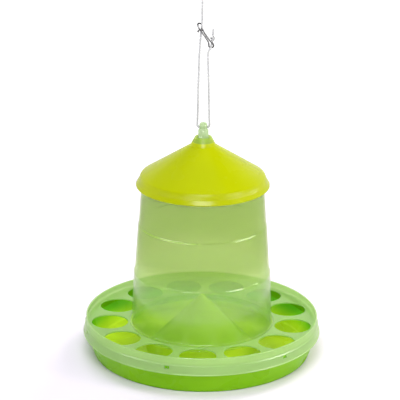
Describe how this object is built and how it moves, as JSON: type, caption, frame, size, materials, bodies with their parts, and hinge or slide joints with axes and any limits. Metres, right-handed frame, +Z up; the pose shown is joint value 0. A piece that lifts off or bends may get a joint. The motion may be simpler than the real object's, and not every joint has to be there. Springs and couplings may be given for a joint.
{
  "type": "gravity poultry feeder",
  "caption": "Hanging gravity feeder: translucent hopper under a loose lid, a ring of head holes over a dished pan, and a cord with a wire tensioner.",
  "frame": {"origin": "centre of the flat underside of the pan, on the surface it stands on", "axes": "+Z up along the hopper's axis, -Y the front, +X to the viewer's right"},
  "size_m": [0.36, 0.36, 0.5988],
  "materials": {
    "pan_plastic": "satin moulded polypropylene, saturated green",
    "ring_plastic": "translucent light green, satin",
    "hopper_plastic": "hazy translucent light green",
    "hanger_plastic": "translucent pale green",
    "lid_plastic": "translucent yellow-green, satin",
    "cord_fibre": "white braided polyester cord",
    "tensioner_wire": "drawn steel wire"
  },
  "bodies": {
    "pan": {"feed_pan": "pan_plastic"},
    "ring": {"head_hole_ring": "ring_plastic"},
    "hopper": {"hopper_tube": "hopper_plastic", "hanger_bar": "hanger_plastic", "cord_left_strand": "cord_fibre", "cord_right_strand": "cord_fibre"},
    "lid": {"lid": "lid_plastic"},
    "tensioner": {"cord_tensioner": "tensioner_wire", "cord_end_knot": "cord_fibre", "cord_tail": "cord_fibre", "cord_upper": "cord_fibre"},
    "loop": {"cord_top_knot": "cord_fibre", "cord_top_loop": "cord_fibre"}
  },
  "joints": [
    {"name": "ring_lift_off", "type": "slide", "parent": "pan", "child": "ring", "axis": [0, 0, 1], "range_m": [0, 0.075]},
    {"name": "hopper_turn", "type": "hinge", "parent": "ring", "child": "hopper", "pos_m": [0, 0, 0.085], "axis": [0, 0, 1], "continuous": true},
    {"name": "lid_lift", "type": "slide", "parent": "hopper", "child": "lid", "axis": [0, 0, 1], "range_m": [0, 0.125]},
    {"name": "tensioner_slide", "type": "slide", "parent": "hopper", "child": "tensioner", "axis": [0, 0, 1], "range_m": [-0.075, 0.012], "deforming": ["cord_left_strand", "cord_right_strand"]},
    {"name": "loop_drop", "type": "slide", "parent": "tensioner", "child": "loop", "axis": [0, 0, 1], "range_m": [-0.024, 0.15], "deforming": ["cord_upper"]}
  ],
  "couplings": [
    {"joint": "loop_drop", "follows": "tensioner_slide", "ratio": -2}
  ]
}
